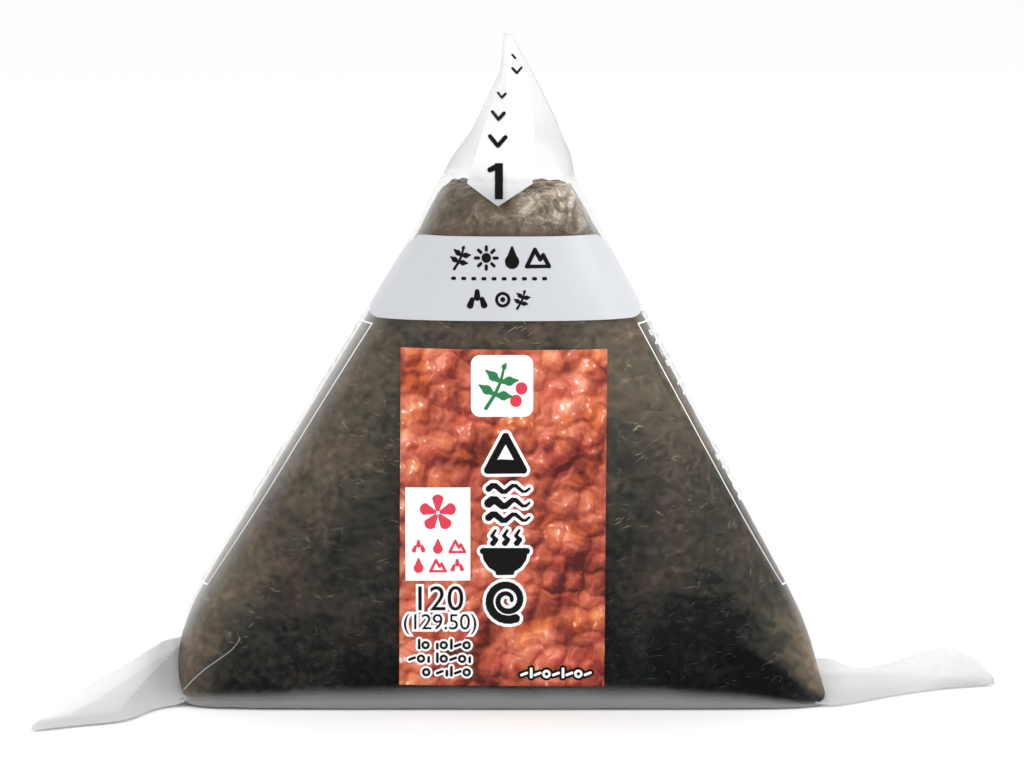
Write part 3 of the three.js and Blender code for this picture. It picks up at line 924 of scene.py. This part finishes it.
def label_print(paper):
    """The label's print: a sprig, a column of kitchen signs, a blossom, numbers and rows of marks."""
    under, black, red, green, over = (bmesh.new() for _ in range(5))
    plate(under, -0.1, 47.6, 9, 8.9, 1.3)
    sign(green, sprig_sign(), (-0.6, 47.6), 7)
    for x, z in ((1.9, 45.4), (2.7, 47.2)):
        stroke(red, (x, z), (x, z + 0.1), 1.7)

    stroke(under, (0.4, 36.8), (0.4, 36.9), 3)
    for make, x, z, size in (
        (rice_ball_sign, 0.4, 37.7, 7.2),
        (waves_sign, 0.9, 30.6, 7),
        (bowl_sign, 0.3, 23.6, 7.2),
        (swirl_sign, 0.6, 16.4, 6.8),
    ):
        sign(under, make(), (x, z), size, 0.45)
        sign(black, make(), (x, z), size)

    plate(under, -9.4, 26.1, 9.4, 13.6)
    sign(red, blossom_sign(), (-9.4, 29.2), 6)
    rows = ((grains_sign, drop_sign, peaks_sign), (drop_sign, peaks_sign, grains_sign))
    for row, makes in enumerate(rows):
        for column, make in enumerate(makes):
            sign(red, make(), (-12.2 + 2.8 * column, 24.3 - 2.8 * row), 2.4, 0.03)

    for text, centre, height in (("120", (-9, 16.7), 3.6), ("(129.50)", (-9.1, 12.9), 3)):
        digits(under, text, centre, height, 0.35)
        digits(black, text, centre, height)

    for kinds, z in (("lo iol-o", 9.8), ("-oi lo-oi", 7.8), ("o -il-o", 5.8)):
        row = marks(kinds, -4.8, z, 1.5)
        sign(under, row, (0, 0), 1, 0.3)
        sign(black, row, (0, 0), 1)
    row = marks("-l-o-l-o-", 12.7, 5.6, 1.5)
    sign(black, row, (0, 0), 1, 0.35)
    sign(over, row, (0, 0), 1)

    skin = skin_of(paper)
    printed("label_white", under, lay_on(skin, 0.02), WHITE_INK)
    printed("label_black", black, lay_on(skin, 0.02 + OVERPRINT), BLACK_INK)
    printed("label_red", red, lay_on(skin, 0.02 + OVERPRINT), RED_INK)
    printed("label_green", green, lay_on(skin, 0.02 + OVERPRINT), GREEN_INK)
    printed("label_white_over", over, lay_on(skin, 0.02 + 2 * OVERPRINT), WHITE_INK)


def band_print(field):
    """Four signs over a dotted line and three smaller ones, in the middle of the band."""
    black = bmesh.new()
    for i, make in enumerate((sprig_sign, sun_sign, drop_sign, peaks_sign)):
        sign(black, make(), (-6.1 + 3.72 * i, 65.85), 3.5, 0.06)
    for i in range(10):
        x = -7.1 + 1.46 * i
        stroke(black, (x - 0.12, 62.92), (x + 0.12, 62.92), 0.5)
    for make, x, size in ((grains_sign, -3.7, 3.6), (ring_sign, 0, 2.5), (sprig_sign, 2.8, 2.8)):
        sign(black, make(), (x, 59.95), size, 0.06)
    printed("band_signs", black, lay_on(skin_of(field), 0.03), BLACK_INK)


def strip_print(tape):
    """A plain figure one on the strip's arrow head and small arrows above it."""
    black = bmesh.new()
    plate(black, -0.56, 76.75, 1.15, 5.1)
    for end in ((-1.85, 78.35), (-1.5, 78.5)):
        stroke(black, (-0.75, 78.9), end, 0.8, 0.75)
    arrows = [(-0.7, 82.4, 2.2), (-0.6, 85.9, 1.7), (-0.1, 88.8, 1.1), (2, 92.3, 1.3), (1.8, 94.3, 1)]
    for x, z, wide in arrows:
        for side in (-1, 1):
            stroke(black, (x, z - wide * 0.3), (x + side * wide / 2, z + wide * 0.25), 0.28 * wide)
    printed("strip_signs", black, lay_on(skin_of(tape), 0.1), BLACK_INK, 0.5)


def side_print():
    """A thin white frame on each slanting side, with rows of fine white marks in it."""
    draw = random.Random(3)
    for side, name in ((-1, "left"), (1, "right")):
        bm = bmesh.new()
        corners = [(-1, FRAME_LOW), (1, FRAME_LOW), (1, FRAME_HIGH), (-1, FRAME_HIGH), (-1, FRAME_LOW)]
        for (a, low), (b, high) in zip(corners, corners[1:]):
            stroke(bm, (a * FRAME_HALF, low), (b * FRAME_HALF, high), FRAME_LINE)
        first = -6.2 if side > 0 else -2.2
        for top, rows in ((FRAME_HIGH - 1.6, 7), (FRAME_HIGH - 20, 5)):
            for row in range(rows):
                kinds = "".join(draw.choice("oil-il ") for _ in range(22 if side > 0 else 14))
                strokes = marks(kinds, FRAME_HALF - 1.4 + draw.uniform(-1, 0), top - 1.5 * row, 1.1)
                sign(bm, [s for s in strokes if s[0][0] > first], (0, 0), 1)

        def place(across, z, lift, side=side):
            return on_side(film_skin, side, across, z, INK_LIFT + lift)

        printed("side_print_" + name, bm, place, WHITE_INK)


# The studio


def studio():
    """A pale floor and soft light from all round, with softboxes above and to both sides."""
    bpy.ops.mesh.primitive_plane_add(size=6)
    floor = bpy.context.object
    floor.name = "studio_floor"
    made, tree, surface = blank("studio_paper")
    paper = node(tree, "BsdfDiffuse", {"Color": linear("#f4f4f4")})
    tree.links.new(paper.outputs[0], surface)
    floor.data.materials.append(made)
    world = bpy.data.worlds.new("studio_world")
    world.use_nodes = True
    world.node_tree.nodes["Background"].inputs["Color"].default_value = (1, 1, 1, 1)
    world.node_tree.nodes["Background"].inputs["Strength"].default_value = 1.07
    bpy.context.scene.world = world
    bpy.context.scene.view_settings.view_transform = "Standard"
    boxes = [
        ("top", (0, -100, 900), (0, 0, 40), (700, 500), 0.9),
        ("left", (-900, -250, 420), (0, 0, 40), (600, 500), 0.4),
        ("right", (700, -300, 420), (0, 0, 40), (600, 500), 2.2),
    ]
    for name, place, aim, size, power in boxes:
        data = bpy.data.lights.new("softbox_" + name, "AREA")
        data.shape = "RECTANGLE"
        data.size, data.size_y = (side * MM for side in size)
        data.energy = power
        lamp = bpy.data.objects.new("softbox_" + name, data)
        lamp.location = Vector(place) * MM
        lamp.rotation_euler = (Vector(aim) - Vector(place)).to_track_quat("-Z", "Y").to_euler()
        bpy.context.scene.collection.objects.link(lamp)


def camera():
    """Looks at the pack from the front, a little from above."""
    rise = math.radians(8)
    aim = Vector((1.33, 0, 46.1)) * MM
    away = 700 * MM
    data = bpy.data.cameras.new("camera")
    data.sensor_width = 36
    data.lens = data.sensor_width * PHOTO_FOCAL / PHOTO_WIDTH
    made = bpy.data.objects.new("camera", data)
    made.location = aim + away * Vector((0, -math.cos(rise), math.sin(rise)))
    made.rotation_euler = (aim - made.location).to_track_quat("-Z", "Y").to_euler()
    bpy.context.scene.collection.objects.link(made)
    bpy.context.scene.camera = made


camera()
studio()
BLACK_INK = printed_ink("black_ink", "#0c0b0a", 0.1)
WHITE_INK = printed_ink("white_ink", "#f8f8f8", 0.3)
RED_INK = printed_ink("red_ink", "#d63a4e", 0.2)
GREEN_INK = printed_ink("green_ink", "#2a7a46", 0.15)

seaweed_strands(seaweed_sheet())
film_skin = skin_of(film_wrap())
crease()
film_ears()
band_print(band())
strip_print(strip())
label_print(label())
side_print()
